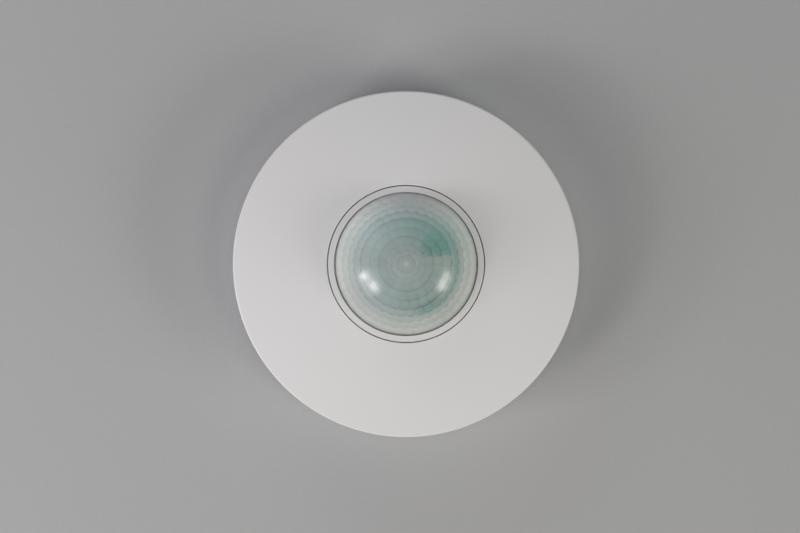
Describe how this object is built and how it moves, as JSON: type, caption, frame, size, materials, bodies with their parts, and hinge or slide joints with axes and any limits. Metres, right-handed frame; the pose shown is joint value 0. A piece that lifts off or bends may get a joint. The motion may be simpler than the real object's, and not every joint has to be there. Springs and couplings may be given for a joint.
{
  "type": "motion sensor",
  "caption": "Round ceiling motion sensor with a milky dome lens, domed cover disc, plug-in sensor head, settings dials and a screw-down base.",
  "frame": {"origin": "centre of the base's ceiling face", "axes": "+Z out of the ceiling face through the lens; the 60 mm pair of mounting slots lies along X, the terminals towards -Y"},
  "size_m": [0.106, 0.106, 0.0377],
  "materials": {
    "cover_white": "satin white",
    "ring_white": "satin white",
    "lens_milky": "milky, smooth outside, cut inside",
    "head_white": "fine spark texture",
    "base_white": "fine spark texture",
    "grey_plastic": "satin",
    "black_plastic": "satin",
    "capacitor_sleeve": "shrink sleeve",
    "relay_blue": "satin",
    "film_yellow": "gloss",
    "varistor_blue": "dipped coating",
    "fuse_ceramic": "bare ceramic",
    "choke_copper": "enamelled winding",
    "orange_plastic": "satin",
    "grommet_rubber": "matte",
    "seal_soft": "matte foam",
    "board_green": "solder mask",
    "screw_steel": "zinc plated",
    "can_metal": "nickel plated",
    "contact_brass": "stamped",
    "dark_filter": "gloss",
    "cell_clear": "clear epoxy",
    "led_red": "tinted epoxy"
  },
  "bodies": {
    "base": {"base_housing": "base_white", "cable_grommet": "grommet_rubber", "terminal_block": "grey_plastic", "terminal_clamp_1": "screw_steel", "terminal_clamp_2": "screw_steel", "terminal_clamp_3": "screw_steel", "contact_strip_1": "contact_brass", "contact_strip_2": "contact_brass", "contact_strip_3": "contact_brass"},
    "head": {"lens_dome": "lens_milky", "head_front": "head_white", "pyro_spacer": "head_white", "light_guide": "head_white", "head_back": "grey_plastic", "mode_switch": "black_plastic", "trimmer_range": "black_plastic", "trimmer_time": "black_plastic", "trimmer_lux": "black_plastic", "button_switch": "black_plastic", "board_link": "black_plastic", "rectifier": "black_plastic", "controller_chip": "black_plastic", "storage_capacitor": "capacitor_sleeve", "relay": "relay_blue", "film_capacitor": "film_yellow", "varistor": "varistor_blue", "fuse": "fuse_ceramic", "choke": "choke_copper", "lens_seal": "seal_soft", "main_board": "board_green", "sensor_board": "board_green", "housing_screw_1": "screw_steel", "housing_screw_2": "screw_steel", "housing_screw_3": "screw_steel", "housing_screw_4": "screw_steel", "head_screw_left": "screw_steel", "head_screw_right": "screw_steel", "pyro_can": "can_metal", "plug_blade_1": "contact_brass", "plug_blade_2": "contact_brass", "plug_blade_3": "contact_brass", "pyro_window": "dark_filter", "remote_receiver": "dark_filter", "light_sensor": "cell_clear", "indicator_led": "led_red"},
    "ring": {"lens_ring": "ring_white"},
    "cover": {"cover_disc": "cover_white"},
    "dial_range": {"dial_range": "orange_plastic"},
    "dial_time": {"dial_time": "orange_plastic"},
    "dial_lux": {"dial_lux": "orange_plastic"},
    "slider_left": {"slider_left": "head_white"},
    "slider_right": {"slider_right": "head_white"},
    "test_button": {"test_button": "grey_plastic"},
    "pusher_1": {"terminal_pusher_1": "orange_plastic"},
    "pusher_2": {"terminal_pusher_2": "orange_plastic"},
    "pusher_3": {"terminal_pusher_3": "orange_plastic"}
  },
  "joints": [
    {"name": "head_lift", "type": "slide", "parent": "base", "child": "head", "axis": [0, 0, 1], "range_m": [0, 0.025]},
    {"name": "cover_lift", "type": "slide", "parent": "head", "child": "cover", "axis": [0, 0, 1], "range_m": [0, 0.03]},
    {"name": "ring_twist", "type": "hinge", "parent": "head", "child": "ring", "pos_m": [0, 0, 0.02], "axis": [0, 0, 1], "range_deg": [0, 45]},
    {"name": "dial_range_turn", "type": "hinge", "parent": "head", "child": "dial_range", "pos_m": [0.0175, 0.03031, 0.0175], "axis": [0, 0, 1], "range_deg": [-135, 135]},
    {"name": "dial_time_turn", "type": "hinge", "parent": "head", "child": "dial_time", "pos_m": [0, 0.035, 0.0175], "axis": [0, 0, 1], "range_deg": [-135, 135]},
    {"name": "dial_lux_turn", "type": "hinge", "parent": "head", "child": "dial_lux", "pos_m": [-0.0175, 0.03031, 0.0175], "axis": [0, 0, 1], "range_deg": [-135, 135]},
    {"name": "slider_left_slide", "type": "slide", "parent": "head", "child": "slider_left", "axis": [0, 1, 0], "range_m": [0, 0.002]},
    {"name": "slider_right_slide", "type": "slide", "parent": "head", "child": "slider_right", "axis": [0, 1, 0], "range_m": [0, 0.002]},
    {"name": "test_button_press", "type": "slide", "parent": "head", "child": "test_button", "axis": [0, 0, -1], "range_m": [0, 0.0006], "stiffness_N_per_m": 1200},
    {"name": "pusher_1_press", "type": "slide", "parent": "base", "child": "pusher_1", "axis": [0, 0, -1], "range_m": [0, 0.0015], "stiffness_N_per_m": 1500},
    {"name": "pusher_2_press", "type": "slide", "parent": "base", "child": "pusher_2", "axis": [0, 0, -1], "range_m": [0, 0.0015], "stiffness_N_per_m": 1500},
    {"name": "pusher_3_press", "type": "slide", "parent": "base", "child": "pusher_3", "axis": [0, 0, -1], "range_m": [0, 0.0015], "stiffness_N_per_m": 1500}
  ]
}
